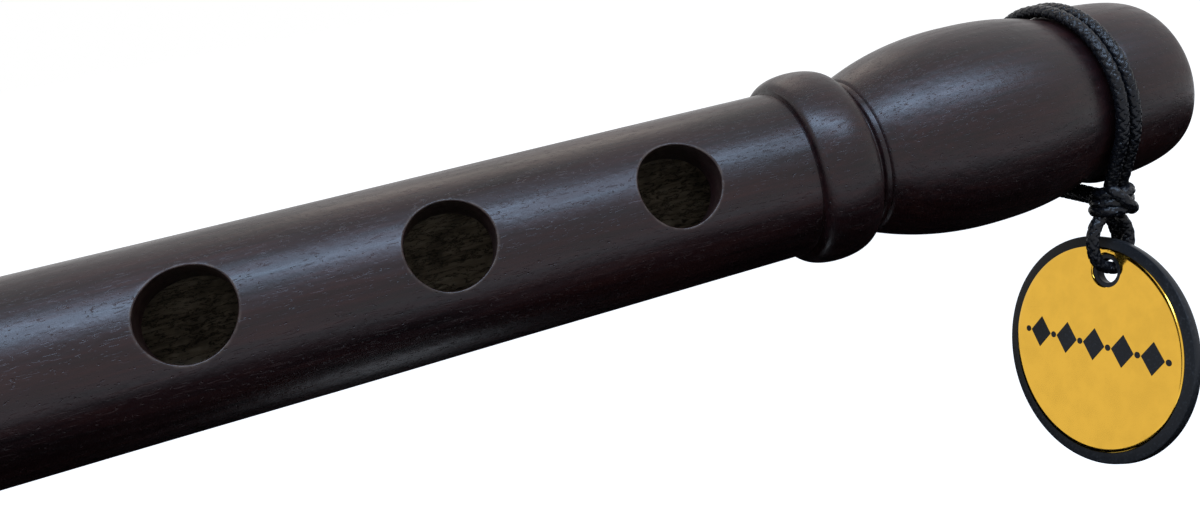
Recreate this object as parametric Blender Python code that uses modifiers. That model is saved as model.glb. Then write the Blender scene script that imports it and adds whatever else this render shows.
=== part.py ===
"""A turned wooden woodwind with a bead, a barrel and a lip at its head, and a round tag on a knotted cord.

Metres, +Z up. The tube lies along X with its head at +X. The origin is on the tube's axis, where the hands
hold it. The finger holes look to -Y and a little up. The tag hangs from the cord neck near the head.
"""

import math

import bmesh
import bpy
from mathutils import Matrix, Vector

# Clearances
SEAT_GAP = 0.0003
CORD_END_GAP = 0.0005

# Tube
GRIP_TO_BEAD = 0.1100
TUBE_LENGTH = 0.2784
TUBE_RADIUS = 0.0105
BORE_RADIUS = 0.0060
BORE_CHAMFER = 0.0004
FOOT_ROUND = 0.0008

# Finger holes and thumb hole
HOLE_COUNT = 8
HOLE_RADIUS = 0.00495
HOLE_PITCH = 0.0268
FIRST_HOLE_FROM_BEAD = 0.0172
THUMB_HOLE_RADIUS = 0.00475
THUMB_HOLE_FROM_BEAD = 0.0306
HOLE_LIFT = math.radians(27)

# Bead between tube and barrel
BEAD_LENGTH = 0.00775
BEAD_RADIUS = 0.01236
BEAD_FULLNESS = 0.74
BEAD_SHOULDER_RADIUS = 0.01065
BEAD_SHOULDER_LENGTH = 0.0002

# Barrel, with fine turned lines at its start
BARREL_LENGTH = 0.0335
BARREL_START_RADIUS = 0.0092
BARREL_RADIUS = 0.0136
BARREL_SWELL_AT = 0.0201
BARREL_START_POWER = 2.2
BARREL_END_POWER = 2.4
LINE_COUNT = 2
LINE_START = 0.0010
LINE_PITCH = 0.0009
LINE_HALF_WIDTH = 0.0002
LINE_DEPTH = 0.00025

# Neck for the cord, lip and reed socket
NECK_RADIUS = 0.0118
NECK_LENGTH = 0.0036
LIP_RADIUS = 0.0125
LIP_RISE = 0.0010
LIP_LENGTH = 0.0115
LIP_FACE_RADIUS = 0.0107
SOCKET_RADIUS = 0.0075
SOCKET_DEPTH = 0.0220
SOCKET_CHAMFER = 0.0005

# Cord
CORD_RADIUS = 0.000825
KNOT_ANGLE = math.radians(56)
KNOT_DROP = 0.0025
KNOT_PIVOT_RISE = 0.0019
KNOT_HALF_HEIGHT = 0.0023
KNOT_CORE_RADIUS = 0.0018
KNOT_CORE_FULLNESS = 0.5
KNOT_WRAP_RADIUS = 0.0019
KNOT_WRAP_PITCH = 0.0017
KNOT_WRAP_TILT = math.radians(6)
LOOP_LENGTH = 0.0097
LOOP_LEAN = math.radians(12.6)

# The loop's and the tail's routes in the knot's frame: behind, beside and above its centre
FRONT_LEG_ROUTE = (
    (-0.00185, 0, -0.00280),
    (-0.00235, 0, -0.00360),
    (-0.00265, 0, -0.00500),
    (-0.00250, 0, -0.00640),
    (-0.00205, 0, -0.00770),
    (-0.00120, 0, -0.00875),
)
BACK_LEG_ROUTE = (
    (0.00265, 0, -0.00900),
    (0.00315, 0, -0.00780),
    (0.00335, 0, -0.00640),
    (0.00330, 0, -0.00500),
    (0.00280, 0, -0.00370),
    (0.00205, 0, -0.00280),
)
TAIL_ROUTE = (
    (0.00200, 0.00200, -0.00265),
    (0.00285, 0.00212, -0.00390),
    (0.00350, 0.00205, -0.00520),
    (0.00385, 0.00200, -0.00650),
)

# Tag
TAG_RADIUS = 0.0150
TAG_THICKNESS = 0.0015
TAG_RIM_WIDTH = 0.0014
TAG_STEP = 0.0002
TAG_EDGE_CHAMFER = 0.0002
TAG_HOLE_RADIUS = 0.0016
TAG_HOLE_RING = 0.0006
TAG_HOLE_TO_EDGE = 0.0044
TAG_LEAN = math.radians(19)
TAG_TURN = math.radians(3)

# Facets
BODY_STEPS = 48
HOLE_SIDES = 36
BARREL_STEPS = 13
BEAD_STEPS = 10
LIP_STEPS = 7
ROUND_STEPS = 4
STRAND_STEPS = 24
LEG_STEPS = 2
KNOT_STEPS = 20
WRAP_SIDES = 10
TAG_STEPS = 56
CORD_SIDES_LEVEL = 2
SHARP_ANGLE = math.radians(35)
MERGE_DISTANCE = 0.00001

# Places along the tube
BEAD_X = GRIP_TO_BEAD
FOOT_X = BEAD_X - TUBE_LENGTH
BARREL_X = BEAD_X + BEAD_LENGTH + BEAD_SHOULDER_LENGTH
NECK_X = BARREL_X + BARREL_LENGTH
LIP_X = NECK_X + NECK_LENGTH
MOUTH_X = LIP_X + LIP_LENGTH
CORD_X = NECK_X + NECK_LENGTH / 2

# The cord's turn round the neck, with the knot outside it
TURN_RADIUS = NECK_RADIUS + SEAT_GAP + CORD_RADIUS
STRAND_OFFSET = CORD_RADIUS + SEAT_GAP / 2
KNOT_DISTANCE = TURN_RADIUS + KNOT_DROP
KNOT_OUTSIDE = KNOT_WRAP_RADIUS + CORD_RADIUS

# Frames of the moving pieces, each with its origin on its joint's axis
NECK_FRAME = Matrix.Translation((CORD_X, 0, 0))
KNOT_OUTWARD = Vector((0, -math.cos(KNOT_ANGLE), -math.sin(KNOT_ANGLE)))
KNOT_CENTRE = Vector((CORD_X, 0, 0)) + KNOT_OUTWARD * KNOT_DISTANCE
KNOT_PIVOT = KNOT_CENTRE - KNOT_OUTWARD * KNOT_PIVOT_RISE
LOOP_TURN = Matrix.Rotation(LOOP_LEAN, 4, "Y")
LOOP_FRAME = Matrix.Translation(KNOT_CENTRE) @ LOOP_TURN
TAG_HOLE = LOOP_FRAME @ Vector((0, 0, -LOOP_LENGTH))
FACE_TURN = Matrix.Rotation(TAG_TURN - math.pi / 2, 4, "Z") @ Matrix.Rotation(math.pi / 2, 4, "X")
TAG_FRAME = Matrix.Translation(TAG_HOLE) @ Matrix.Rotation(TAG_LEAN, 4, "Y") @ FACE_TURN


def clear_scene():
    for obj in list(bpy.data.objects):
        bpy.data.objects.remove(obj, do_unlink=True)


def new_collection(name):
    collection = bpy.data.collections.new(name)
    bpy.context.scene.collection.children.link(collection)
    return collection


def principled(name, colour, roughness, metallic):
    material = bpy.data.materials.new(name)
    material.use_nodes = True
    material.diffuse_color = (*colour, 1)
    shader = material.node_tree.nodes["Principled BSDF"]
    shader.inputs["Base Color"].default_value = (*colour, 1)
    shader.inputs["Roughness"].default_value = roughness
    shader.inputs["Metallic"].default_value = metallic
    return material


def dark_stained_wood():
    return principled("dark_stained_wood", (0.020, 0.011, 0.010), 0.38, 0)


def black_waxed_cord(name):
    return principled(name, (0.012, 0.012, 0.016), 0.45, 0)


def gilt_laminate():
    return principled("gilt_laminate", (0.74, 0.42, 0.06), 0.18, 1)


def frame_empty(name, matrix, collection):
    empty = bpy.data.objects.new(name, None)
    empty.matrix_world = matrix
    empty.empty_display_size = CORD_RADIUS
    collection.objects.link(empty)
    return empty


def turned(name, profile, closed, steps, collection):
    """An object turned round its own Z from points of (radius, height) that run down its outer side."""
    points = [(radius, 0, height) for radius, height in profile]
    edges = [(i, i + 1) for i in range(len(points) - 1)]
    if closed:
        edges.append((len(points) - 1, 0))
    mesh = bpy.data.meshes.new(name)
    mesh.from_pydata(points, edges, [])
    obj = bpy.data.objects.new(name, mesh)
    collection.objects.link(obj)
    screw = obj.modifiers.new("turn", "SCREW")
    screw.steps = steps
    screw.render_steps = steps
    screw.use_merge_vertices = True
    screw.merge_threshold = MERGE_DISTANCE
    return obj


def round_cutter(name, radius, bottom, top, matrix, cutters):
    """A cylinder along the matrix's own Z, from bottom to top."""
    mesh = bpy.data.meshes.new(name)
    shape = bmesh.new()
    bmesh.ops.create_cone(
        shape,
        cap_ends=True,
        segments=HOLE_SIDES,
        radius1=radius,
        radius2=radius,
        depth=top - bottom,
        matrix=Matrix.Translation((0, 0, (top + bottom) / 2)),
    )
    shape.to_mesh(mesh)
    shape.free()
    cutter = bpy.data.objects.new(name, mesh)
    cutter.matrix_world = matrix
    cutters.objects.link(cutter)
    return hidden(cutter)


def hidden(helper):
    helper.hide_render = True
    helper.display_type = "WIRE"
    return helper


def combine(obj, other, operation):
    boolean = obj.modifiers.new(other.name, "BOOLEAN")
    boolean.operation = operation
    boolean.solver = "EXACT"
    boolean.object = other


def finish(obj, material):
    """Applies the modifiers and shades the mesh smooth between its sharp edges."""
    bpy.context.view_layer.update()
    graph = bpy.context.evaluated_depsgraph_get()
    mesh = bpy.data.meshes.new_from_object(obj.evaluated_get(graph))
    obj.modifiers.clear()
    obj.data = mesh
    mesh.shade_smooth()
    mesh.set_sharp_from_angle(angle=SHARP_ANGLE)
    mesh.materials.clear()
    mesh.materials.append(material)


def fractions(steps):
    return [i / steps for i in range(steps + 1)]


def lip_profile():
    """From the mouth's edge back over the lip and down into the neck."""
    points = []
    for part in fractions(LIP_STEPS):
        turn = (1 - part) * math.pi / 2
        radius = LIP_FACE_RADIUS + (LIP_RADIUS - LIP_FACE_RADIUS) * math.cos(turn)
        points.append((radius, LIP_X + LIP_RISE + (LIP_LENGTH - LIP_RISE) * math.sin(turn)))
    for part in fractions(ROUND_STEPS)[1:]:
        turn = part * math.pi / 2
        radius = NECK_RADIUS + (LIP_RADIUS - NECK_RADIUS) * math.cos(turn)
        points.append((radius, LIP_X + LIP_RISE * (1 - math.sin(turn))))
    return points


def barrel_radius(along):
    """The barrel's radius at a distance from its start: a long rise to the swell, then a short fall."""
    if along < BARREL_SWELL_AT:
        away = 1 - along / BARREL_SWELL_AT
        return BARREL_RADIUS - (BARREL_RADIUS - BARREL_START_RADIUS) * away**BARREL_START_POWER
    away = (along - BARREL_SWELL_AT) / (BARREL_LENGTH - BARREL_SWELL_AT)
    return BARREL_RADIUS - (BARREL_RADIUS - NECK_RADIUS) * away**BARREL_END_POWER


def barrel_profile():
    """From the neck back to the turned lines and the barrel's start."""
    lines_end = LINE_START + LINE_COUNT * LINE_PITCH
    points = []
    for part in fractions(BARREL_STEPS):
        along = BARREL_LENGTH - (BARREL_LENGTH - lines_end) * part
        points.append((barrel_radius(along), BARREL_X + along))
    for line in reversed(range(LINE_COUNT)):
        middle = LINE_START + line * LINE_PITCH
        for side, depth in ((1, 0), (0, LINE_DEPTH), (-1, 0)):
            along = middle + side * LINE_HALF_WIDTH
            points.append((barrel_radius(along) - depth, BARREL_X + along))
    points.append((BARREL_START_RADIUS, BARREL_X))
    return points


def bead_profile():
    """From the step under the barrel back over the bead to the tube."""
    points = [(BEAD_SHOULDER_RADIUS, BARREL_X)]
    for part in fractions(BEAD_STEPS):
        turn = part * math.pi
        base = BEAD_SHOULDER_RADIUS + (TUBE_RADIUS - BEAD_SHOULDER_RADIUS) * part
        radius = base + (BEAD_RADIUS - base) * math.sin(turn) ** BEAD_FULLNESS
        points.append((radius, BEAD_X + BEAD_LENGTH * (1 + math.cos(turn)) / 2))
    return points


def foot_profile():
    """The rounded outer edge of the foot and the chamfer into the bore."""
    points = []
    for part in fractions(ROUND_STEPS):
        turn = part * math.pi / 2
        radius = TUBE_RADIUS - FOOT_ROUND * (1 - math.cos(turn))
        points.append((radius, FOOT_X + FOOT_ROUND * (1 - math.sin(turn))))
    points.append((BORE_RADIUS + BORE_CHAMFER, FOOT_X))
    points.append((BORE_RADIUS, FOOT_X + BORE_CHAMFER))
    return points


def socket_profile():
    """From the end of the bore out to the reed socket and up to the mouth."""
    return [
        (BORE_RADIUS, MOUTH_X - SOCKET_DEPTH),
        (SOCKET_RADIUS, MOUTH_X - SOCKET_DEPTH),
        (SOCKET_RADIUS, MOUTH_X - SOCKET_CHAMFER),
        (SOCKET_RADIUS + SOCKET_CHAMFER, MOUTH_X),
    ]


def hole_places():
    """Each hole's place on the axis, its radius, and its turn about the axis from straight up."""
    front = math.pi / 2 - HOLE_LIFT
    places = [
        (BEAD_X - FIRST_HOLE_FROM_BEAD - i * HOLE_PITCH, HOLE_RADIUS, front) for i in range(HOLE_COUNT)
    ]
    places.append((BEAD_X - THUMB_HOLE_FROM_BEAD, THUMB_HOLE_RADIUS, front + math.pi))
    return places


def make_wooden_body(parts, cutters):
    profile = lip_profile() + barrel_profile() + bead_profile() + foot_profile() + socket_profile()
    body = turned("wooden_body", profile, True, BODY_STEPS, parts)
    body.rotation_euler = (0, math.pi / 2, 0)
    for number, (along, radius, turn) in enumerate(hole_places()):
        matrix = Matrix.Translation((along, 0, 0)) @ Matrix.Rotation(turn, 4, "X")
        cutter = round_cutter(f"hole_cutter_{number}", radius, 0, 2 * TUBE_RADIUS, matrix, cutters)
        combine(body, cutter, "DIFFERENCE")
    finish(body, dark_stained_wood())


def cord(name, points, frame, parts):
    """A stretch of cord through the points, in the frame of the joint that moves it."""
    curve = bpy.data.curves.new(name, "CURVE")
    curve.dimensions = "3D"
    curve.bevel_depth = CORD_RADIUS
    curve.bevel_resolution = CORD_SIDES_LEVEL
    curve.use_fill_caps = True
    spline = curve.splines.new("POLY")
    spline.points.add(len(points) - 1)
    for place, point in zip(spline.points, points):
        place.co = (*point, 1)
    curve.materials.append(black_waxed_cord(name + "_cord"))
    obj = bpy.data.objects.new(name, curve)
    obj.parent = frame
    parts.objects.link(obj)


def make_neck_strand(name, side, frame, parts):
    """A turn of the cord round the neck. Its two ends leave the neck straight towards the knot."""
    leave = math.acos(TURN_RADIUS / KNOT_DISTANCE)
    reach = math.sqrt(KNOT_DISTANCE**2 - TURN_RADIUS**2)
    first = leave - math.atan((reach - KNOT_OUTSIDE - CORD_END_GAP) / TURN_RADIUS)
    points = []
    for part in fractions(STRAND_STEPS):
        turn = first + (2 * math.pi - 2 * first) * part
        near = min(turn, 2 * math.pi - turn)
        radius = TURN_RADIUS / math.cos(max(leave - near, 0))
        place = Matrix.Rotation(turn, 3, "X") @ KNOT_OUTWARD * radius
        points.append(place + Vector((side * STRAND_OFFSET, 0, 0)))
    cord(name, points, frame, parts)


def smooth_points(route):
    """Points on a smooth curve through the route's own points."""
    spots = [Vector(spot) for spot in route]
    ends = [2 * spots[0] - spots[1]] + spots + [2 * spots[-1] - spots[-2]]
    points = [spots[0]]
    for before, start, end, after in zip(ends, ends[1:], ends[2:], ends[3:]):
        for step in range(1, LEG_STEPS + 1):
            t = step / LEG_STEPS
            slope = (end - before) * t + (2 * before - 5 * start + 4 * end - after) * t**2
            points.append(start + (slope + (3 * start - 3 * end + after - before) * t**3) / 2)
    return points


def make_tag_loop(frame, parts):
    """The loop down from the knot, through the tag's hole from its front and up again behind it."""
    tag_in_loop = LOOP_FRAME.inverted() @ TAG_FRAME
    rise = TAG_HOLE_RADIUS - CORD_RADIUS - SEAT_GAP
    in_hole = tuple(tag_in_loop @ Vector((0, rise, depth)) for depth in (0, -TAG_THICKNESS))
    cord("tag_loop", smooth_points(FRONT_LEG_ROUTE + in_hole + BACK_LEG_ROUTE), frame, parts)


def make_cord_tail(frame, parts):
    cord("cord_tail", smooth_points(TAIL_ROUTE), frame, parts)


def ring_profile(ring_radius, section_radius):
    turns = [2 * math.pi * i / WRAP_SIDES for i in range(WRAP_SIDES)]
    return [(ring_radius + section_radius * math.sin(a), section_radius * math.cos(a)) for a in turns]


def core_profile():
    """A small barrel, from its top on the axis down to its bottom on the axis."""
    turns = [math.pi * part for part in fractions(2 * ROUND_STEPS)]
    return [
        (KNOT_CORE_RADIUS * math.sin(a) ** KNOT_CORE_FULLNESS, KNOT_HALF_HEIGHT * math.cos(a)) for a in turns
    ]


def make_knot(frame, parts, cutters):
    """The knot: two wraps of cord, one over the other, round the strands that pass through them."""
    knot = turned("cord_knot", core_profile(), False, KNOT_STEPS, parts)
    knot.parent = frame
    knot.matrix_local = frame.matrix_world.inverted() @ LOOP_FRAME
    section = ring_profile(KNOT_WRAP_RADIUS, CORD_RADIUS)
    for name, side in (("lower_wrap", -1), ("upper_wrap", 1)):
        wrap = turned(name, section, True, KNOT_STEPS, cutters)
        lift = Matrix.Translation((0, 0, side * KNOT_WRAP_PITCH / 2))
        wrap.matrix_world = LOOP_FRAME @ lift @ Matrix.Rotation(KNOT_WRAP_TILT, 4, "X")
        combine(knot, hidden(wrap), "UNION")
    finish(knot, black_waxed_cord("cord_knot_cord"))


def tag_profile():
    """The raised face, the rim a step lower, the edge and the plain back."""
    front = TAG_THICKNESS / 2
    rim = front - TAG_STEP
    inner = TAG_RADIUS - TAG_RIM_WIDTH
    return [
        (0, front),
        (inner, front),
        (inner, rim),
        (TAG_RADIUS - TAG_EDGE_CHAMFER, rim),
        (TAG_RADIUS, rim - TAG_EDGE_CHAMFER),
        (TAG_RADIUS, TAG_EDGE_CHAMFER - front),
        (TAG_RADIUS - TAG_EDGE_CHAMFER, -front),
        (0, -front),
    ]


def make_tag(frame, parts, cutters):
    tag = turned("tag", tag_profile(), False, TAG_STEPS, parts)
    tag.parent = frame
    tag.location = (0, TAG_HOLE_TO_EDGE - TAG_RADIUS, -TAG_THICKNESS / 2)
    ring = round_cutter(
        "tag_ring_cutter", TAG_HOLE_RADIUS + TAG_HOLE_RING, -TAG_STEP, TAG_STEP, frame.matrix_world, cutters
    )
    hole = round_cutter(
        "tag_hole_cutter", TAG_HOLE_RADIUS, -2 * TAG_THICKNESS, TAG_THICKNESS, frame.matrix_world, cutters
    )
    combine(tag, ring, "DIFFERENCE")
    combine(tag, hole, "DIFFERENCE")
    finish(tag, gilt_laminate())


def main():
    clear_scene()
    parts = new_collection("wooden_flute")
    cutters = new_collection("cutters")
    make_wooden_body(parts, cutters)
    neck_frame = frame_empty("neck_turn_axis", NECK_FRAME, parts)
    knot_frame = frame_empty("knot_swing_axis", Matrix.Translation(KNOT_PIVOT), parts)
    loop_frame = frame_empty("loop_twist_axis", LOOP_FRAME, parts)
    tag_frame = frame_empty("tag_swing_axis", TAG_FRAME, parts)
    bpy.context.view_layer.update()
    make_neck_strand("neck_strand_left", -1, neck_frame, parts)
    make_neck_strand("neck_strand_right", 1, neck_frame, parts)
    make_knot(knot_frame, parts, cutters)
    make_tag_loop(loop_frame, parts)
    make_cord_tail(loop_frame, parts)
    make_tag(tag_frame, parts, cutters)


main()
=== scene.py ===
"""Dark turned pipe with a bead, a barrel and a lip, and a round gold tag on a braided black cord."""

import math

import bmesh
import bpy
from mathutils import Matrix, Vector, noise


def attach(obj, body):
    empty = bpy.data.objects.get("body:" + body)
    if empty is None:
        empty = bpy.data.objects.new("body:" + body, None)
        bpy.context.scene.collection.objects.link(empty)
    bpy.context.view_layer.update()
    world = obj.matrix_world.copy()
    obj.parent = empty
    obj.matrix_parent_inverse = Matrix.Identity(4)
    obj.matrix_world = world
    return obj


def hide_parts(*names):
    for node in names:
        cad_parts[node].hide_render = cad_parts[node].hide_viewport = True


bl_info = {
    "name": "Turned pipe with a hang tag",
    "version": (1, 0, 0),
    "blender": (4, 5, 0),
    "location": "View3D > Sidebar > Pipe",
    "description": "Builds a dark turned pipe, its braided cord, its tag and a plain studio",
    "category": "Object",
}

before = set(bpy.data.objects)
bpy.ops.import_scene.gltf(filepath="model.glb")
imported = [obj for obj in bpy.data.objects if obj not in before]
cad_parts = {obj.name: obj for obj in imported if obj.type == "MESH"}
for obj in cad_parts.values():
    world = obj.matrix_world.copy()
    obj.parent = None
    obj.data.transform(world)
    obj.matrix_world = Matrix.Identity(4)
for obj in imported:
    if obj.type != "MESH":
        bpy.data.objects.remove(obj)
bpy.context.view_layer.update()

MM = 0.001

# Places along the pipe, in metres from the middle of the grip
FOOT_X = -0.1684
BEAD_X = 0.1100
BEAD_END = BEAD_X + 0.00775
BARREL_X = BEAD_END + 0.0002
NECK_X = BARREL_X + 0.0335
LIP_X = NECK_X + 0.0036
MOUTH_X = LIP_X + 0.0115
CORD_X = (NECK_X + LIP_X) / 2
SOCKET_X = MOUTH_X - 0.0220

# Radii of the pipe
BORE_RADIUS = 6.0 * MM
SOCKET_RADIUS = 7.5 * MM
SHOULDER_RADIUS = 10.65 * MM
BARREL_START_RADIUS = 9.2 * MM
NECK_RADIUS = 11.8 * MM
LIP_RADIUS = 12.5 * MM
LIP_FACE_RADIUS = 10.7 * MM
MOUTH_FACE_RADIUS = 9.4 * MM
FOOT_FACE_RADIUS = 8.2 * MM

# Roundings, chamfers and the barrel's curve
LIP_ROUND = 1.0 * MM
FOOT_ROUND = 0.8 * MM
BORE_CHAMFER = 0.4 * MM
SOCKET_CHAMFER = 0.5 * MM
BEAD_FULLNESS = 0.74
BARREL_LENGTH = NECK_X - BARREL_X
BARREL_SWELL = 20.1 * MM
BARREL_RISE = 2.2
BARREL_FALL = 2.4
BARREL_LINES = (1.0 * MM, 1.9 * MM)
LINE_HALF_WIDTH = 0.2 * MM

# Finger holes, and the thumb hole behind them
HOLE_COUNT = 8
HOLE_PITCH = 26.8 * MM
FIRST_HOLE_X = BEAD_X - 17.2 * MM
THUMB_HOLE_X = BEAD_X - 30.6 * MM
THUMB_HOLE_RADIUS = 4.75 * MM
HOLE_LIFT = math.radians(27)
HOLE_OUTWARD = Vector((0, -math.cos(HOLE_LIFT), math.sin(HOLE_LIFT)))
HOLE_SIDEWAYS = Vector((0, math.sin(HOLE_LIFT), math.cos(HOLE_LIFT)))

PIPE_SIDES = 160
RIM_SIDES = 72
SHARP = math.radians(35)


# ---- Shader maths -------------------------------------------------------------------------------


class Field:
    """A socket in a node tree that adds up like a number."""

    def __init__(self, nodes, socket):
        self.nodes = nodes
        self.socket = socket

    def math(self, operation, *others):
        return self.nodes.node("ShaderNodeMath", {"operation": operation}, dict(enumerate((self, *others))))

    def __add__(self, other):
        return self.math("ADD", other)

    def __sub__(self, other):
        return self.math("SUBTRACT", other)

    def __mul__(self, other):
        return self.math("MULTIPLY", other)

    def __truediv__(self, other):
        return self.math("DIVIDE", other)

    def __pow__(self, other):
        return self.math("POWER", other)

    def __abs__(self):
        return self.math("ABSOLUTE")

    def whole(self):
        return self.math("ROUND")

    def between(self, low, high):
        return self.math("MAXIMUM", low).math("MINIMUM", high)

    def ramp(self, low, high, start=0.0, end=1.0):
        """Start where the field is at low and end where it is at high, with a soft bend between them."""
        settings = {"interpolation_type": "SMOOTHSTEP"}
        return self.nodes.node("ShaderNodeMapRange", settings, {0: self, 1: low, 2: high, 3: start, 4: end})

    def bump_at(self, middle, half_width):
        """One at the middle, falling to nothing at half a width away."""
        return abs(self - middle).ramp(0, half_width, 1, 0)


class Nodes:
    """A node tree, and the one way in which nodes are added to it."""

    def __init__(self, tree):
        self.tree = tree

    def node(self, kind, settings=None, inputs=None, output=0):
        """A node of that type: its settings first, then the values or links of its sockets."""
        node = self.tree.nodes.new(kind)
        for name, value in (settings or {}).items():
            if name == "stops":
                ramp = node.color_ramp.elements
                while len(ramp) < len(value):
                    ramp.new(1.0)
                for stop, (place, colour) in zip(ramp, value):
                    stop.position = place
                    stop.color = (*colour, 1)
            else:
                setattr(node, name, value)
        for name, value in (inputs or {}).items():
            if isinstance(value, Field):
                self.tree.links.new(value.socket, node.inputs[name])
            else:
                node.inputs[name].default_value = value
        return Field(self, node.outputs[output])

    def seen_by(self, *rays):
        """One for those kinds of rays, nothing for all others."""
        seen = self.node("ShaderNodeLightPath", output=rays[0])
        for kind in rays[1:]:
            seen = seen.math("MAXIMUM", self.node("ShaderNodeLightPath", output=kind))
        return seen


class Finish(Nodes):
    """A material, and the nodes that its surface is worked out with."""

    def __init__(self, name, **constants):
        self.material = bpy.data.materials.new(name)
        self.material.use_nodes = True
        super().__init__(self.material.node_tree)
        self.shader = self.tree.nodes["Principled BSDF"]
        for socket, value in constants.items():
            self.shader.inputs[socket.replace("_", " ")].default_value = value

    def place(self):
        """The point on the surface, in millimetres, in the object's own frame."""
        spot = self.node("ShaderNodeTexCoord", output="Object")
        return self.node("ShaderNodeVectorMath", {"operation": "SCALE"}, {0: spot, "Scale": 1 / MM})

    def parts_of(self, vector):
        return [self.node("ShaderNodeSeparateXYZ", inputs={0: vector}, output=i) for i in range(3)]

    def stretched(self, vector, factors):
        return self.node("ShaderNodeVectorMath", {"operation": "MULTIPLY"}, {0: vector, 1: factors})

    def noise(self, vector, scale, detail=3.0, roughness=0.5):
        inputs = {"Vector": vector, "Scale": scale, "Detail": detail, "Roughness": roughness}
        return self.node("ShaderNodeTexNoise", inputs=inputs)

    def colours(self, field, *stops):
        return self.node("ShaderNodeValToRGB", {"stops": stops}, {0: field})

    def mix(self, mask, colour, other):
        """The colour where the mask is nothing, the other one where it is one."""
        inputs = {0: mask}
        for socket, value in ((6, colour), (7, other)):
            inputs[socket] = value if isinstance(value, Field) else (*value, 1)
        return self.node("ShaderNodeMix", {"data_type": "RGBA"}, inputs, output=2)

    def bumped(self, height, depth):
        """A Normal whose relief is the height times the depth in metres."""
        return self.node("ShaderNodeBump", inputs={"Height": height, "Distance": depth, "Strength": 1.0})

    def feed(self, **links):
        for socket, field in links.items():
            self.tree.links.new(field.socket, self.shader.inputs[socket.replace("_", " ")])
        return self.material


# ---- Meshes -------------------------------------------------------------------------------------


def new_piece(name, mesh, materials):
    """An object for a mesh, smooth between its sharp edges."""
    piece = bpy.data.objects.new(name, mesh)
    bpy.context.scene.collection.objects.link(piece)
    mesh.shade_smooth()
    mesh.set_sharp_from_angle(angle=SHARP)
    mesh.materials.clear()
    for material in materials:
        mesh.materials.append(material)
    return piece


def mesh_of(name, points, faces, closed=True):
    """A mesh with its doubles welded and its faces turned outward."""
    shape = bmesh.new()
    corners = [shape.verts.new(point) for point in points]
    for face in faces:
        shape.faces.new([corners[i] for i in face])
    if closed:
        bmesh.ops.remove_doubles(shape, verts=shape.verts, dist=0.001 * MM)
        bmesh.ops.recalc_face_normals(shape, faces=shape.faces)
    mesh = bpy.data.meshes.new(name)
    shape.to_mesh(mesh)
    shape.free()
    return mesh


def grid_faces(rows, columns, wrap_rows=False):
    """Quads between rows of points that close on themselves."""
    faces = []
    for row in range(rows if wrap_rows else rows - 1):
        here, there = row * columns, (row + 1) % rows * columns
        for i in range(columns):
            j = (i + 1) % columns
            faces.append((here + i, here + j, there + j, there + i))
    return faces


def steps(count):
    return [i / count for i in range(count + 1)]


# ---- Pipe ---------------------------------------------------------------------------------------


def lip_rings():
    """From the mouth's edge over the lip into the neck, as (radius, x)."""
    rings = []
    for part in steps(26):
        turn = (1 - part) * math.pi / 2
        radius = LIP_FACE_RADIUS + (LIP_RADIUS - LIP_FACE_RADIUS) * math.cos(turn)
        rings.append((radius, LIP_X + LIP_ROUND + (MOUTH_X - LIP_X - LIP_ROUND) * math.sin(turn)))
    for part in steps(8)[1:]:
        turn = part * math.pi / 2
        radius = NECK_RADIUS + (LIP_RADIUS - NECK_RADIUS) * math.cos(turn)
        rings.append((radius, LIP_X + LIP_ROUND * (1 - math.sin(turn))))
    return rings


def barrel_radius(along, widest):
    """A long rise from the bead's side to the swell and a short fall to the neck."""
    if along < BARREL_SWELL:
        return widest - (widest - BARREL_START_RADIUS) * (1 - along / BARREL_SWELL) ** BARREL_RISE
    past_swell = (along - BARREL_SWELL) / (BARREL_LENGTH - BARREL_SWELL)
    return widest - (widest - NECK_RADIUS) * past_swell**BARREL_FALL


def barrel_rings(widest, line_depth):
    """The barrel, with two fine turned lines near its start, where the rings stand closer."""
    rings = []
    for part in steps(150):
        along = BARREL_LENGTH * (1 - part) ** 1.25
        away = min(abs(along - line) for line in BARREL_LINES) / LINE_HALF_WIDTH
        dip = line_depth * max(0.0, 1 - away)
        rings.append((barrel_radius(along, widest) - dip, BARREL_X + along))
    return rings


def bead_rings(tube_radius, bead_radius):
    """The round bead between the barrel and the tube."""
    rings = [(SHOULDER_RADIUS, BARREL_X)]
    for part in steps(40):
        turn = part * math.pi
        base = SHOULDER_RADIUS + (tube_radius - SHOULDER_RADIUS) * part
        radius = base + (bead_radius - base) * math.sin(turn) ** BEAD_FULLNESS
        rings.append((radius, BEAD_X + (BEAD_END - BEAD_X) * (1 + math.cos(turn)) / 2))
    return rings


def tube_rings(tube_radius, groove_depth):
    """From the fine groove beside the bead to the foot's round edge and the chamfer of the bore."""
    rings = [
        (tube_radius - groove_depth, BEAD_X - 0.10 * MM),
        (tube_radius - groove_depth, BEAD_X - 0.18 * MM),
        (tube_radius, BEAD_X - 0.32 * MM),
    ]
    start, end = BEAD_X - 1.0 * MM, FOOT_X + FOOT_ROUND
    rings += [(tube_radius, start + (end - start) * part) for part in steps(190)]
    for part in steps(10)[1:]:
        turn = part * math.pi / 2
        radius = tube_radius - FOOT_ROUND * (1 - math.cos(turn))
        rings.append((radius, FOOT_X + FOOT_ROUND * (1 - math.sin(turn))))
    rings += [(FOOT_FACE_RADIUS, FOOT_X), (BORE_RADIUS + BORE_CHAMFER, FOOT_X)]
    return rings


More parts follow.
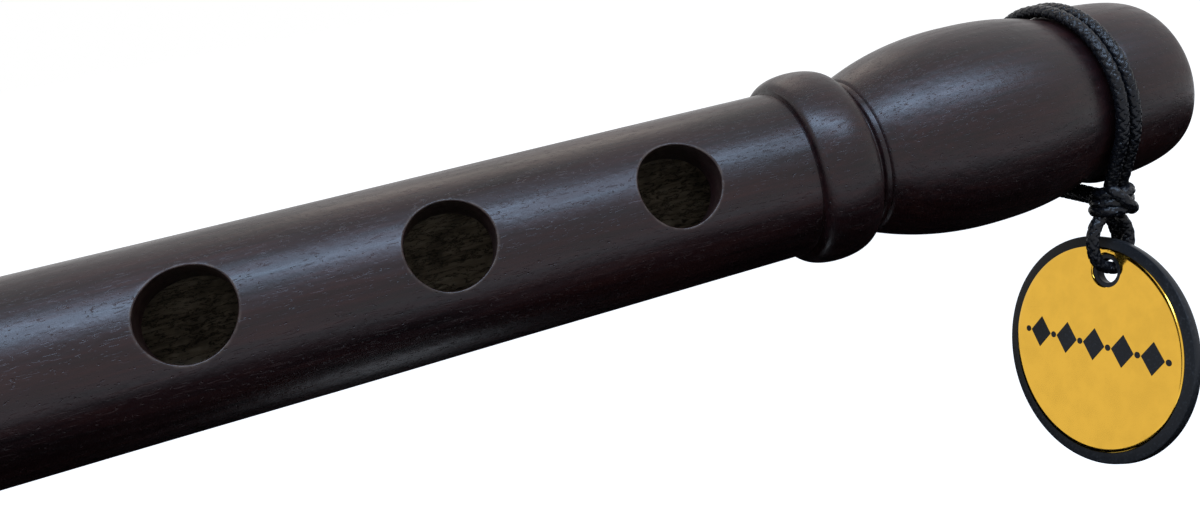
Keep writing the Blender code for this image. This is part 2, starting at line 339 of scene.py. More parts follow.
def bore_rings():
    """From the foot through the bore and the socket to the mouth."""
    start = FOOT_X + BORE_CHAMFER
    rings = [(BORE_RADIUS, start + (SOCKET_X - start) * part) for part in steps(96)]
    end = MOUTH_X - SOCKET_CHAMFER
    rings += [(SOCKET_RADIUS, SOCKET_X + (end - SOCKET_X) * part) for part in steps(10)]
    rings += [(SOCKET_RADIUS + SOCKET_CHAMFER, MOUTH_X), (MOUTH_FACE_RADIUS, MOUTH_X)]
    return rings


def turned_points(rings, unevenness):
    """Each ring's points round the X axis; the outside wanders a little from a true round."""
    points = []
    for radius, x in rings:
        for i in range(PIPE_SIDES):
            turn = 2 * math.pi * i / PIPE_SIDES
            wander = 0.0
            if radius > SOCKET_RADIUS + MM and FOOT_X + MM < x < MOUTH_X - 0.2 * MM:
                spot = Vector((x / 0.022, 1.6 * math.cos(turn), 1.6 * math.sin(turn)))
                wander = unevenness * noise.noise(spot)
            points.append((x, (radius + wander) * math.cos(turn), (radius + wander) * math.sin(turn)))
    return points


def hole_cutter(x, radius, outward, tube_radius, rounding):
    """Points and faces of one hole, with the rim rolled over where it meets the round of the tube."""
    sideways = outward.cross(Vector((1, 0, 0)))
    rows = [(radius, 0.0, 0.0), (radius, 1.0, -2 * rounding)]
    for part in steps(7):
        turn = part * math.radians(76)
        rows.append((radius + rounding * (1 - math.cos(turn)), 1.0, -rounding * (1 - math.sin(turn))))
    flare = radius + rounding * 1.15
    rows += [(flare, 1.0, rounding * 1.2), (flare, 0.0, tube_radius + MM)]
    points = []
    for rim, on_tube, lift in rows:
        for i in range(RIM_SIDES):
            turn = 2 * math.pi * i / RIM_SIDES
            side = rim * math.sin(turn)
            height = on_tube * math.sqrt(tube_radius**2 - side**2) + lift
            points.append(Vector((x + rim * math.cos(turn), 0, 0)) + sideways * side + outward * height)
    faces = grid_faces(len(rows), RIM_SIDES)
    faces.append(tuple(reversed(range(RIM_SIDES))))
    last = (len(rows) - 1) * RIM_SIDES
    faces.append(tuple(range(last, last + RIM_SIDES)))
    return points, faces


def hole_cutters(settings):
    """One mesh with the room of every finger hole and the thumb hole."""
    points, faces = [], []
    holes = [(FIRST_HOLE_X - i * HOLE_PITCH, settings.hole_radius, HOLE_OUTWARD) for i in range(HOLE_COUNT)]
    holes.append((THUMB_HOLE_X, THUMB_HOLE_RADIUS, -HOLE_OUTWARD))
    for x, radius, outward in holes:
        new_points, new_faces = hole_cutter(x, radius, outward, settings.tube_radius, settings.hole_rounding)
        faces += [tuple(len(points) + i for i in face) for face in new_faces]
        points += new_points
    return mesh_of("hole_cutters", points, faces)


def cut(mesh, cutters):
    """The mesh with the cutters' room taken out of it."""
    solid = bpy.data.objects.new("uncut", mesh)
    tool = bpy.data.objects.new("cutter", cutters)
    for helper in (solid, tool):
        bpy.context.scene.collection.objects.link(helper)
    boolean = solid.modifiers.new("holes", "BOOLEAN")
    boolean.operation = "DIFFERENCE"
    boolean.solver = "EXACT"
    boolean.object = tool
    bpy.context.view_layer.update()
    graph = bpy.context.evaluated_depsgraph_get()
    result = bpy.data.meshes.new_from_object(solid.evaluated_get(graph))
    for helper in (solid, tool):
        bpy.data.objects.remove(helper, do_unlink=True)
    return result


def rim_distance(finish, place):
    """How far, in millimetres, a point is from the nearest finger hole's middle line, seen along it."""
    x, y, z = finish.parts_of(place)
    near = x - FIRST_HOLE_X / MM
    pitch = HOLE_PITCH / MM
    across = near - (near / pitch).whole().between(1 - HOLE_COUNT, 0) * pitch
    sideways = y * HOLE_SIDEWAYS.y + z * HOLE_SIDEWAYS.z
    outward = y * HOLE_OUTWARD.y + z * HOLE_OUTWARD.z
    return (across**2 + sideways**2) ** 0.5, outward


def stained_wood(settings):
    """Turned wood, stained nearly black, with open pores, small dents and worn hole rims."""
    finish = Finish("stained_wood", Specular_IOR_Level=settings.gloss_level)
    place = finish.place()
    grain = finish.stretched(place, (0.055, 1.0, 1.0))
    broad = finish.noise(finish.stretched(place, (0.4, 1.0, 1.0)), 0.13, 2.0)
    fine = finish.noise(grain, 1.6, 5.0, 0.62)
    tone = finish.colours(
        fine * 0.62 + broad * 0.38,
        (0.36, settings.dark_stain),
        (0.52, settings.middle_stain),
        (0.70, settings.light_stain),
    )
    distance, outward = rim_distance(finish, place)
    rim = settings.hole_radius / MM
    patchy = finish.noise(place, 0.9, 3.0).ramp(0.38, 0.62, 0.25, 1.0)
    worn = distance.bump_at(rim + 0.16, 0.26) * outward.ramp(7.2, 8.6) * patchy
    tone = finish.mix(worn * 0.75, tone, settings.worn_rim)

    pores = finish.noise(finish.stretched(place, (0.16, 1.0, 1.0)), 5.2, 2.0, 0.5).ramp(0.60, 0.70)
    dents = finish.noise(place, 0.8, 2.5, 0.55)
    speck = finish.noise(finish.stretched(place, (0.7, 1.0, 1.0)), 2.6, 2.0, 0.5).ramp(0.66, 0.74)
    height = dents * 0.6 - pores * 0.14 - speck * 0.45
    normal = finish.bumped(height, settings.relief)
    smooth, rough = settings.roughness - 0.05, settings.roughness + 0.07
    roughness = finish.noise(grain, 0.9, 4.0, 0.6).ramp(0.3, 0.7, smooth, rough)
    return finish.feed(Base_Color=tone, Roughness=roughness + pores * 0.12, Normal=normal)


def bare_wood(settings):
    """The unstained wall of the bore: grey-brown, with dark cracks and stains along the grain."""
    finish = Finish("bare_bore_wood", Specular_IOR_Level=0.2)
    place = finish.place()
    grain = finish.noise(finish.stretched(place, (0.08, 1.0, 1.0)), 1.4, 5.0, 0.65)
    stain = finish.noise(place, 0.22, 3.0, 0.6).ramp(0.42, 0.66)
    cracks = finish.noise(finish.stretched(place, (0.30, 1.0, 1.0)), 1.0, 6.0, 0.72).bump_at(0.5, 0.022)
    tone = finish.colours(
        grain, (0.3, settings.bore_dark), (0.5, settings.bore_wood), (0.72, settings.bore_light)
    )
    tone = finish.mix(stain * 0.8, tone, settings.bore_dark)
    tone = finish.mix(cracks * 0.85, tone, settings.bore_crack)
    normal = finish.bumped(grain - cracks * 0.6, 0.12 * MM)
    return finish.feed(Base_Color=tone, Normal=normal, Roughness=stain.ramp(0, 1, 0.78, 0.6))


def colour_property(name, description, default):
    return bpy.props.FloatVectorProperty(
        name=name, description=description, default=default, subtype="COLOR", size=3, min=0, max=1
    )


def length_property(name, description, default):
    return bpy.props.FloatProperty(
        name=name, description=description, default=default, min=0, unit="LENGTH", precision=5
    )


def factor_property(name, description, default):
    return bpy.props.FloatProperty(
        name=name, description=description, default=default, min=0, max=1, subtype="FACTOR"
    )


class PipeSettings(bpy.types.PropertyGroup):
    tube_radius: length_property("Tube radius", "Outer radius of the tube", 10.5 * MM)
    bead_radius: length_property("Bead radius", "Outer radius of the bead", 12.36 * MM)
    barrel_radius: length_property("Barrel radius", "Radius of the barrel at its swell", 13.6 * MM)
    hole_radius: length_property("Finger hole radius", "Radius of each finger hole", 4.95 * MM)
    hole_rounding: length_property("Hole rounding", "How far the rim of a hole is rolled over", 0.30 * MM)
    groove_depth: length_property("Groove depth", "Depth of the groove beside the bead", 0.14 * MM)
    line_depth: length_property("Line depth", "Depth of the turned lines on the barrel", 0.25 * MM)
    unevenness: length_property("Unevenness", "How far the turned outside wanders", 0.05 * MM)
    relief: length_property("Relief", "Depth of pores and dents", 0.07 * MM)
    roughness: factor_property("Roughness", "Roughness of the stained wood", 0.34)
    gloss_level: factor_property("Gloss level", "Strength of the stained wood's gloss", 0.30)
    dark_stain: colour_property("Dark stain", "Darkest tone of the wood", (0.0060, 0.0030, 0.0033))
    middle_stain: colour_property("Middle stain", "Usual tone of the wood", (0.0125, 0.0042, 0.0045))
    light_stain: colour_property("Light stain", "Lightest tone of the wood", (0.0240, 0.0070, 0.0060))
    worn_rim: colour_property("Worn rim", "Tone of the worn hole rims", (0.07, 0.045, 0.034))
    bore_wood: colour_property("Bore wood", "Usual tone of the bore's wall", (0.30, 0.24, 0.17))
    bore_light: colour_property("Light bore wood", "Lightest tone of the bore's wall", (0.46, 0.39, 0.29))
    bore_dark: colour_property("Dark bore wood", "Stains on the bore's wall", (0.10, 0.08, 0.055))
    bore_crack: colour_property("Bore cracks", "Cracks in the bore's wall", (0.012, 0.009, 0.007))


class FLUTE_OT_pipe(bpy.types.Operator):
    """Turn the pipe and cut its holes"""

    bl_idname = "flute.make_pipe"
    bl_label = "Pipe"

    def execute(self, context):
        settings = context.scene.flute_pipe
        rings = (
            lip_rings()
            + barrel_rings(settings.barrel_radius, settings.line_depth)
            + bead_rings(settings.tube_radius, settings.bead_radius)
            + tube_rings(settings.tube_radius, settings.groove_depth)
            + bore_rings()
        )
        points = turned_points(rings, settings.unevenness)
        solid = mesh_of("uncut_pipe", points, grid_faces(len(rings), PIPE_SIDES, wrap_rows=True))
        mesh = cut(solid, hole_cutters(settings))
        if not mesh.polygons:
            raise RuntimeError("the holes took the whole pipe away")
        pipe = new_piece("turned_pipe", mesh, (stained_wood(settings), bare_wood(settings)))
        for face in mesh.polygons:
            middle = face.center
            depth = math.hypot(middle.y, middle.z)
            in_bore = depth < BORE_RADIUS + 0.01 * MM
            in_socket = middle.x > SOCKET_X - 0.1 * MM and depth < SOCKET_RADIUS + 0.01 * MM
            face.material_index = 1 if in_bore or in_socket else 0
        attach(pipe, "flute")
        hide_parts("wooden_body")
        return {"FINISHED"}


# ---- Cord ---------------------------------------------------------------------------------------

# The middle line of a turn round the neck clears the wood by the CAD cord's radius and a small gap
TURN_RADIUS = NECK_RADIUS + 0.3 * MM + 0.825 * MM
# Each turn lies this far to its side, comes nearer the other at the knot, and ends short of the circle
STRAND_OFFSET = 0.975 * MM
STRAND_PINCH = 0.12
STRAND_END = math.radians(1.5)
KNOT_DISTANCE = TURN_RADIUS + 2.5 * MM
KNOT_ANGLE = math.radians(56)
KNOT_OUTWARD = Vector((0, -math.cos(KNOT_ANGLE), -math.sin(KNOT_ANGLE)))
KNOT_CENTRE = Vector((CORD_X, 0, 0)) + KNOT_OUTWARD * KNOT_DISTANCE
LOOP_LEAN = math.radians(12.6)
LOOP_FRAME = Matrix.Translation(KNOT_CENTRE) @ Matrix.Rotation(LOOP_LEAN, 4, "Y")
TAG_HOLE = LOOP_FRAME @ Vector((0, 0, -9.7 * MM))
TAG_LEAN = math.radians(19)
FACE_TURN = Matrix.Rotation(math.radians(3 - 90), 4, "Z") @ Matrix.Rotation(math.pi / 2, 4, "X")
TAG_FRAME = Matrix.Translation(TAG_HOLE) @ Matrix.Rotation(TAG_LEAN, 4, "Y") @ FACE_TURN

# Sides of a cord, the length of one row of its faces, and how blunt its end is
CORD_SIDES = 32
CORD_ROW = 0.12 * MM
BLUNT_END = 0.05

# Routes of the knot, the loop and the tail in the loop's frame, in millimetres
WRAP_START = math.radians(70)
WRAP_TURN = math.radians(1040)
WRAP_RADIUS = 1.9
WRAP_TOP = 1.5
WRAP_FALL = 3.1
WRAP_WAVE = 0.34
CROSSING = ((-1.9, -0.9, 2.0), (-1.2, -2.1, 1.2), (0.1, -2.6, 0.1), (1.3, -2.2, -0.6), (2.1, -0.9, -1.0))
LOOP_FRONT = (
    (-1.35, 0, -2.0), (-1.85, 0, -2.8), (-2.35, 0, -3.6), (-2.65, 0, -5.0), (-2.5, 0, -6.4),
    (-2.05, 0, -7.7), (-1.2, 0, -8.75),
)
LOOP_BACK = (
    (2.65, 0, -9.0), (3.15, 0, -7.8), (3.35, 0, -6.4), (3.3, 0, -5.0), (2.8, 0, -3.7),
    (2.05, 0, -2.8), (1.5, 0, -2.0),
)
TAIL = ((1.45, 1.45, -2.0), (2.0, 2.0, -2.65), (2.85, 2.12, -3.9), (3.5, 2.05, -5.2), (3.85, 2.0, -6.5))

# Where the loop goes through the tag's hole, in the tag's frame, in millimetres
HOLE_PASS = ((0, 0.475, 0), (0, 0.475, -1.5))


def waxed_cord(settings):
    """Black waxed braid with small cool glints."""
    finish = Finish("waxed_braid", Specular_IOR_Level=settings.gloss_level)
    place = finish.place()
    wax = finish.noise(place, 1.7, 3.0, 0.6)
    tone = finish.colours(wax, (0.35, settings.colour), (0.72, tuple(2.2 * c for c in settings.colour)))
    threads = finish.noise(finish.stretched(place, (2.0, 2.0, 1.0)), 6.0, 2.0)
    normal = finish.bumped(threads, 0.03 * MM)
    return finish.feed(Base_Color=tone, Roughness=wax.ramp(0.3, 0.7, 0.14, 0.27), Normal=normal)


def smooth_points(route, count):
    """Points on a smooth curve through the route's own points."""
    spots = [Vector(spot) for spot in route]
    ends = [2 * spots[0] - spots[1]] + spots + [2 * spots[-1] - spots[-2]]
    points = [spots[0]]
    for before, start, end, after in zip(ends, ends[1:], ends[2:], ends[3:]):
        for t in steps(count)[1:]:
            slope = (end - before) * t + (2 * before - 5 * start + 4 * end - after) * t**2
            points.append(start + (slope + (3 * start - 3 * end + after - before) * t**3) / 2)
    return points


def even_points(points):
    """The same line with its points one braid row apart."""
    runs = [0.0]
    for a, b in zip(points, points[1:]):
        runs.append(runs[-1] + (b - a).length)
    count = max(8, round(runs[-1] / CORD_ROW))
    spots, at = [], 0
    for part in steps(count):
        run = part * runs[-1]
        while at < len(runs) - 2 and runs[at + 1] < run:
            at += 1
        share = (run - runs[at]) / (runs[at + 1] - runs[at])
        spots.append(points[at].lerp(points[at + 1], min(1.0, share)))
    return spots


def braid_radius(settings, turn, run):
    """The radius of the braid: yarns that wind both ways, over and under each other."""
    winding = settings.yarns * turn / (2 * math.pi)
    along = run / settings.braid_pitch
    first, second = winding + along, winding - along
    over = first if (math.floor(first) + math.floor(second)) % 2 else second
    crown = math.sqrt(max(0.0, 1 - (2 * (over % 1.0) - 1) ** 2))
    return settings.radius - settings.braid_depth * (1 - crown)


def braided(name, points, settings, material, body, nodes=()):
    """A braided cord along the points, its ends rounded over, and its own middle line."""
    spots = even_points(points)
    rows, side = [], None
    for i, spot in enumerate(spots):
        ahead = (spots[min(i + 1, len(spots) - 1)] - spots[max(i - 1, 0)]).normalized()
        if side is None:
            side = ahead.orthogonal().normalized()
        side = (side - ahead * side.dot(ahead)).normalized()
        up = ahead.cross(side)
        run = i * CORD_ROW
        left = min(i, len(spots) - 1 - i) * CORD_ROW / settings.radius
        end = math.sqrt(max(0.0, 1 - (1 - left) ** 2)) if left < 1 else 1.0
        for j in range(CORD_SIDES):
            turn = 2 * math.pi * j / CORD_SIDES
            radius = braid_radius(settings, turn, run) * max(end, BLUNT_END)
            rows.append(spot + (side * math.cos(turn) + up * math.sin(turn)) * radius)
    faces = grid_faces(len(spots), CORD_SIDES)
    last = (len(spots) - 1) * CORD_SIDES
    faces += [tuple(range(CORD_SIDES)), tuple(range(last, last + CORD_SIDES))]
    piece = new_piece(name, mesh_of(name, rows, faces), (material,))
    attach(piece, body)
    if nodes:
        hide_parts(*nodes)
    return piece, spots


class CordSettings(bpy.types.PropertyGroup):
    radius: length_property("Cord radius", "Outer radius of the cord", 0.86 * MM)
    braid_depth: length_property("Braid depth", "How deep the braid's furrows are", 0.20 * MM)
    braid_pitch: length_property("Braid pitch", "Length of one yarn's crossing", 1.3 * MM)
    yarns: bpy.props.IntProperty(
        name="Yarns", description="Yarns that wind each way", default=4, min=2, max=12
    )
    gloss_level: factor_property("Gloss level", "Strength of the wax's gloss", 0.20)
    colour: colour_property("Colour", "Tone of the waxed cord", (0.0040, 0.0040, 0.0050))


def strand_points(offset):
    """A turn round the neck, whose two ends leave it straight for the middle of the knot."""
    leave = math.acos(TURN_RADIUS / KNOT_DISTANCE)
    points = []
    for part in steps(240):
        turn = STRAND_END + (2 * math.pi - 2 * STRAND_END) * part
        near = min(turn, 2 * math.pi - turn)
        radius = TURN_RADIUS / math.cos(max(leave - near, 0))
        close = max(0.0, 1 - near / leave)
        place = Matrix.Rotation(turn, 3, "X") @ KNOT_OUTWARD * radius
        points.append(place + Vector((CORD_X + offset * (1 - STRAND_PINCH * close), 0, 0)))
    return points


def in_loop(route, count):
    """A smooth line through a route that is given in the loop's frame, in millimetres."""
    return smooth_points([LOOP_FRAME @ (Vector(spot) * MM) for spot in route], count)


def wrap_route():
    """Nearly three turns that wind down round the knot."""
    route = []
    for part in steps(60):
        turn = WRAP_START + WRAP_TURN * part
        height = WRAP_TOP - WRAP_FALL * part + WRAP_WAVE * math.sin(turn - 0.5)
        route.append((WRAP_RADIUS * math.sin(turn), WRAP_RADIUS * math.cos(turn), height))
    return route


class FLUTE_OT_cord(bpy.types.Operator):
    """Braid the two turns round the neck, the knot, the loop and the tail"""

    bl_idname = "flute.make_cord"
    bl_label = "Cord"

    def execute(self, context):
        settings = context.scene.flute_cord
        material = waxed_cord(settings)

        def make(name, points, body, *nodes):
            return braided(name, points, settings, material, body, nodes)

        tag_in_loop = LOOP_FRAME.inverted() @ TAG_FRAME
        hole_pass = [(tag_in_loop @ (Vector(spot) * MM)) / MM for spot in HOLE_PASS]
        knot, _ = make("knot_wraps", in_loop(wrap_route(), 3), "knot", "cord_knot")
        cross, _ = make("knot_crossing", in_loop(CROSSING, 12), "knot")
        loop_route = (*LOOP_FRONT, *hole_pass, *LOOP_BACK)
        loop, _ = make("braided_loop", in_loop(loop_route, 12), "hanging_loop", "tag_loop")
        tail, _ = make("braided_tail", in_loop(TAIL, 12), "hanging_loop", "cord_tail")
        tag = bpy.data.objects["hang_tag"]
        for name, side, pieces in (("left", -1, [knot, cross, loop, tail, tag]), ("right", 1, [])):
            points = strand_points(side * STRAND_OFFSET)
            strand, path = make("braided_" + name, points, "neck_loop", "neck_strand_" + name)
            length = sum((b - a).length for a, b in zip(path, path[1:]))
        return {"FINISHED"}


# ---- Tag ----------------------------------------------------------------------------------------

# The tag's own frame has the hole's middle at its origin and the gold face at height nothing
HOLE_TO_RIM = 4.4 * MM
HOLE_RADIUS = 1.6 * MM
FACE_HOLE_RADIUS = 2.2 * MM
RING_RADIUS = 2.6 * MM
RIM_WIDTH = 1.4 * MM
RIM_LEVEL = -0.2 * MM
HOLE_EDGE = 0.08 * MM
FACE_BEVEL = 0.12 * MM
TAG_SIDES = 160

# The inlaid band: shapes as corners, half width and half height, in millimetres
BAND_TILT = math.radians(7)
BAND_LIFT = 0.4 * MM
BAND_PITCH = 4.6
BAND_HEIGHT = 0.03 * MM
LOZENGE = (4, 1.75, 2.15)
STUD = (20, 0.42, 0.42)


class TagSettings(bpy.types.PropertyGroup):
    radius: length_property("Tag radius", "Radius of the tag", 15.0 * MM)
    thickness: length_property("Tag thickness", "Thickness of the tag", 1.5 * MM)
    gold: colour_property("Gold", "Colour of the face", (0.745, 0.434, 0.056))
    core: colour_property("Core", "Colour of the rim, the edge and the back", (0.012, 0.012, 0.013))
    rubbed: colour_property("Rubbed core", "Where the core is rubbed pale", (0.035, 0.035, 0.037))
    face_roughness: factor_property("Face roughness", "Roughness of the gold face", 0.10)


def gold_face(settings):
    finish = Finish("gold_face", Metallic=1.0)
    place = finish.place()
    haze = finish.noise(place, 0.35, 3.0, 0.6)
    low, high = settings.face_roughness - 0.03, settings.face_roughness + 0.05
    tone = finish.mix(haze.ramp(0.3, 0.7), settings.gold, tuple(0.93 * c for c in settings.gold))
    return finish.feed(Base_Color=tone, Roughness=haze.ramp(0.35, 0.65, low, high))


def black_core(settings):
    finish = Finish("black_core", Specular_IOR_Level=0.14)
    place = finish.place()
    rubbed = finish.noise(place, 3.0, 4.0, 0.6)
    tone = finish.mix(rubbed.ramp(0.5, 0.8), settings.core, settings.rubbed)
    return finish.feed(Base_Color=tone, Roughness=rubbed.ramp(0.3, 0.7, 0.28, 0.45))


def disc_points(sections, settings):
    """Rings of points. A section is (radius, whether it is round the tag's middle, height)."""
    points = []
    for radius, at_middle, height in sections:
        drop = at_middle * (HOLE_TO_RIM - settings.radius)
        for i in range(TAG_SIDES):
            turn = 2 * math.pi * i / TAG_SIDES
            points.append((radius * math.cos(turn), drop + radius * math.sin(turn), height))
    return points


def tag_face_mesh(settings):
    """The gold face: a round plate with a round hole off its middle, both edges bevelled."""
    outer = settings.radius - RIM_WIDTH
    edge = [(0.0, RIM_LEVEL), (0.0, -FACE_BEVEL), (FACE_BEVEL * 0.4, -FACE_BEVEL * 0.4), (FACE_BEVEL, 0.0)]
    sections = [(FACE_HOLE_RADIUS + inset, 0.0, height) for inset, height in edge]
    sections += [(FACE_HOLE_RADIUS + 0.6 * MM, 0.0, 0.0), (outer - 0.6 * MM, 1.0, 0.0)]
    sections += [(outer - inset, 1.0, height) for inset, height in reversed(edge)]
    return disc_points(sections, settings), grid_faces(len(sections), TAG_SIDES)


def tag_core_mesh(settings):
    """The black core: rim, edge and back, with the hole's wall and the ring round it."""
    back, outer, edge = -settings.thickness, settings.radius, 0.2 * MM
    inside = HOLE_RADIUS + HOLE_EDGE
    rim = [
        (outer - 1.9 * MM, RIM_LEVEL),
        (outer - edge, RIM_LEVEL),
        (outer - 0.05 * MM, RIM_LEVEL - 0.06 * MM),
        (outer, RIM_LEVEL - edge),
        (outer, back + edge),
        (outer - 0.06 * MM, back + 0.05 * MM),
        (outer - edge, back),
        (outer - 3.0 * MM, back),
    ]
    sections = [(inside, 0.0, RIM_LEVEL), (RING_RADIUS, 0.0, RIM_LEVEL)]
    sections += [(radius, 1.0, height) for radius, height in rim]
    sections += [(RING_RADIUS, 0.0, back), (inside, 0.0, back)]
    sections += [(HOLE_RADIUS, 0.0, back + HOLE_EDGE), (HOLE_RADIUS, 0.0, RIM_LEVEL - HOLE_EDGE)]
    return disc_points(sections, settings), grid_faces(len(sections), TAG_SIDES, wrap_rows=True)


def lozenge_band(settings):
    """A plain band of lozenges with small round studs between them, a hair above the face."""
    middle = HOLE_TO_RIM - settings.radius + BAND_LIFT
    tilt = Matrix.Rotation(BAND_TILT, 3, "Z")
    shapes = [(i * BAND_PITCH, *LOZENGE) for i in range(-2, 3)]
    shapes += [((i + 0.5) * BAND_PITCH, *STUD) for i in range(-3, 3)]
    points, faces = [], []
    for x, corners, wide, high in shapes:
        first = len(points)
        for height in (0.0, BAND_HEIGHT):
            for j in range(corners):
                turn = 2 * math.pi * j / corners
                flat = tilt @ Vector((x + wide * math.cos(turn), high * math.sin(turn), 0)) * MM
                points.append((flat.x, middle + flat.y, height))
        faces += [tuple(first + i for i in face) for face in grid_faces(2, corners)]
        faces += [tuple(range(first, first + corners)), tuple(range(first + corners, first + 2 * corners))]
    return points, faces


class FLUTE_OT_tag(bpy.types.Operator):
    """Make the gold face, the black core and the plain inlaid band"""

    bl_idname = "flute.make_tag"
    bl_label = "Tag"

    def execute(self, context):
        settings = context.scene.flute_tag
        core_material = black_core(settings)
        plan = (
            ("hang_tag", tag_core_mesh(settings), core_material, ("tag",)),
            ("hang_tag_face", tag_face_mesh(settings), gold_face(settings), ()),
            ("hang_tag_band", lozenge_band(settings), core_material, ()),
        )
        for name, (points, faces), material, nodes in plan:
            placed = [TAG_FRAME @ Vector(point) for point in points]
            piece = new_piece(name, mesh_of(name, placed, faces), (material,))
            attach(piece, "hang_tag")
            piece.visible_diffuse = False
            piece.visible_glossy = name != "hang_tag_face"
            if nodes:
                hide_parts(*nodes)
        return {"FINISHED"}


# ---- Stage --------------------------------------------------------------------------------------

# The camera that was fitted to the photo; it looks against CAMERA_BACK
CAMERA_PLACE = Vector((53.87, -114.94, 33.58)) * MM
CAMERA_RIGHT = Vector((0.93401, -0.31095, -0.17587))
CAMERA_UP = Vector((0.21587, 0.09903, 0.97139))
CAMERA_BACK = Vector((-0.28464, -0.94525, 0.15962))
CAMERA_SHIFT = (-0.0044, -0.1343)

BACKGROUND_RAYS = ("Is Camera Ray", "Is Glossy Ray", "Is Transmission Ray")
FLOOR_HALF = 6.0
FLOOR_COLOUR = (0.50, 0.50, 0.50, 1)
FLOOR_GLOW = 0.88
WHITE = (1, 1, 1, 1)

# The dark card and the opening in it, as left, front, right and back
CARD_BOX = (-0.55, -0.25, 0.60, 0.75)
CARD_OPENING = (0.042, -0.010, 0.080, 0.032)
CARD_HEIGHT = -0.14

# The lamps; the window's shape is its height as a share of its width
LIGHTS_AIM = (0.06, 0, 0)
WINDOW_PLACE = (-0.05, -0.42, 0.80)
WINDOW_SHAPE = 0.14
FILL_PLACE = (0.25, 0.75, 0.80)
FILL_SIZE = (0.5, 0.5)
FILL_COLOUR = (1.0, 0.86, 0.74)


class StageSettings(bpy.types.PropertyGroup):
    lens: bpy.props.FloatProperty(
        name="Lens", description="Focal length on a 36 mm wide sensor, in millimetres", default=30.46, min=1
    )
    floor_drop: length_property("Floor drop", "How far the floor is below the grip", 0.22)
    world_light: factor_property("Room light", "Strength of the light from all round", 0.32)
    window_light: bpy.props.FloatProperty(
        name="Window light", description="Power of the soft window light", default=21.0, min=0
    )
    window_colour: colour_property("Window colour", "Colour of the window light", (0.50, 0.70, 1.0))
    window_size: length_property("Window size", "Width of the window light", 1.70)
    fill_light: bpy.props.FloatProperty(
        name="Fill light", description="Power of the warm light from behind", default=1.2, min=0
    )


def area_light(name, place, size, power, colour):
    """A soft rectangular lamp that faces the pipe's head."""
    light = bpy.data.lights.new(name, "AREA")
    light.shape = "RECTANGLE"
    light.size, light.size_y = size
    light.energy = power
    light.color = colour
    lamp = bpy.data.objects.new(name, light)
    lamp.location = place
    lamp.rotation_euler = (Vector(LIGHTS_AIM) - Vector(place)).to_track_quat("-Z", "Y").to_euler()
    bpy.context.scene.collection.objects.link(lamp)


def make_camera(settings):
    """The camera that was fitted to the pipe's outline, its holes and the tag."""
    camera = bpy.data.cameras.new("photo_camera")
    camera.sensor_width = 36
    camera.lens = settings.lens
    camera.shift_x, camera.shift_y = CAMERA_SHIFT
    camera.clip_start, camera.clip_end = 0.005, 20
    holder = bpy.data.objects.new("photo_camera", camera)
    turn = Matrix((CAMERA_RIGHT, CAMERA_UP, CAMERA_BACK)).transposed().to_4x4()
    holder.matrix_world = Matrix.Translation(CAMERA_PLACE) @ turn
    bpy.context.scene.collection.objects.link(holder)
    bpy.context.scene.camera = holder


def make_world(settings):
    """White where the camera, metal and glass see it, and a plain grey light on the rest."""
    world = bpy.data.worlds.new("room")
    bpy.context.scene.world = world
    world.use_nodes = True
    room = Nodes(world.node_tree)
    strength = room.seen_by(*BACKGROUND_RAYS).ramp(0, 1, settings.world_light, 1)
    background = room.tree.nodes["Background"]
    background.inputs["Color"].default_value = WHITE
    room.tree.links.new(strength.socket, background.inputs["Strength"])


def floor_finish():
    """A pale floor that reads as white and still takes a soft shadow."""
    material = bpy.data.materials.new("pale_floor")
    material.use_nodes = True
    floor = Nodes(material.node_tree)
    floor.tree.nodes.clear()
    matt = floor.node("ShaderNodeBsdfDiffuse", inputs={"Color": FLOOR_COLOUR})
    strength = floor.seen_by(*BACKGROUND_RAYS) * FLOOR_GLOW
    glow = floor.node("ShaderNodeEmission", inputs={"Color": WHITE, "Strength": strength})
    both = floor.node("ShaderNodeAddShader", inputs={0: matt, 1: glow})
    out = floor.tree.nodes.new("ShaderNodeOutputMaterial")
    floor.tree.links.new(both.socket, out.inputs["Surface"])
    return material


def corners_of(left, front, right, back, height):
    return [(left, front, height), (right, front, height), (right, back, height), (left, back, height)]


def make_floor(settings):
    points = corners_of(-FLOOR_HALF, -FLOOR_HALF, FLOOR_HALF, FLOOR_HALF, -settings.floor_drop)
    floor = new_piece("floor", mesh_of("floor", points, [(0, 1, 2, 3)], closed=False), (floor_finish(),))


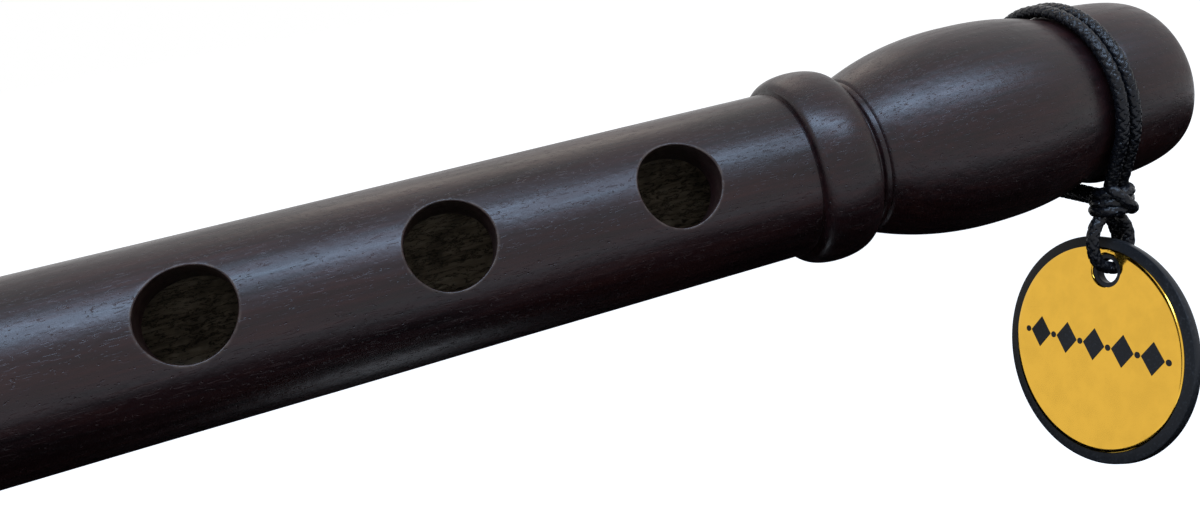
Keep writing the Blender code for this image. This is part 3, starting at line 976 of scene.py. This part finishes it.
def make_dark_card():
    """A black card under the pipe, out of the picture, that keeps its underside dark.

    An opening in it lets the tag's face mirror the pale floor when it is seen from above."""
    points = corners_of(*CARD_BOX, CARD_HEIGHT) + corners_of(*CARD_OPENING, CARD_HEIGHT)
    faces = [(i, (i + 1) % 4, 4 + (i + 1) % 4, 4 + i) for i in range(4)]
    matt = Finish("black_card", Base_Color=(0.002, 0.002, 0.002, 1), Roughness=1.0, Specular_IOR_Level=0.0)
    card = new_piece("dark_card", mesh_of("dark_card", points, faces, closed=False), (matt.material,))
    card.visible_camera = False
    card.visible_shadow = False


class FLUTE_OT_stage(bpy.types.Operator):
    """Set up the camera, the soft lights, the pale floor and the dark card"""

    bl_idname = "flute.make_stage"
    bl_label = "Stage"

    def execute(self, context):
        settings = context.scene.flute_stage
        make_camera(settings)
        make_world(settings)
        make_floor(settings)
        make_dark_card()
        window_size = (settings.window_size, WINDOW_SHAPE * settings.window_size)
        area_light("window", WINDOW_PLACE, window_size, settings.window_light, settings.window_colour)
        area_light("warm_fill", FILL_PLACE, FILL_SIZE, settings.fill_light, FILL_COLOUR)
        context.scene.view_settings.view_transform = "Standard"
        return {"FINISHED"}


class FLUTE_PT_panel(bpy.types.Panel):
    """Every operator, and every setting of each group"""

    bl_idname = "FLUTE_PT_panel"
    bl_label = "Pipe"
    bl_space_type = "VIEW_3D"
    bl_region_type = "UI"
    bl_category = "Pipe"

    def draw(self, context):
        for operator in OPERATORS:
            self.layout.operator(operator.bl_idname)
        for group in SETTINGS:
            box = self.layout.box()
            values = getattr(context.scene, group)
            for name in values.bl_rna.properties.keys():
                if name not in ("rna_type", "name"):
                    box.prop(values, name)


SETTINGS = {
    "flute_pipe": PipeSettings,
    "flute_cord": CordSettings,
    "flute_tag": TagSettings,
    "flute_stage": StageSettings,
}
OPERATORS = (FLUTE_OT_pipe, FLUTE_OT_tag, FLUTE_OT_cord, FLUTE_OT_stage)


def register():
    for cls in (*SETTINGS.values(), *OPERATORS, FLUTE_PT_panel):
        bpy.utils.register_class(cls)
    for name, cls in SETTINGS.items():
        setattr(bpy.types.Scene, name, bpy.props.PointerProperty(type=cls))


def unregister():
    for name in SETTINGS:
        delattr(bpy.types.Scene, name)
    for cls in reversed((*SETTINGS.values(), *OPERATORS, FLUTE_PT_panel)):
        bpy.utils.unregister_class(cls)


def main():
    register()
    bpy.ops.flute.make_pipe()
    bpy.ops.flute.make_tag()
    bpy.ops.flute.make_cord()
    bpy.ops.flute.make_stage()


if __name__ == "__main__":
    main()
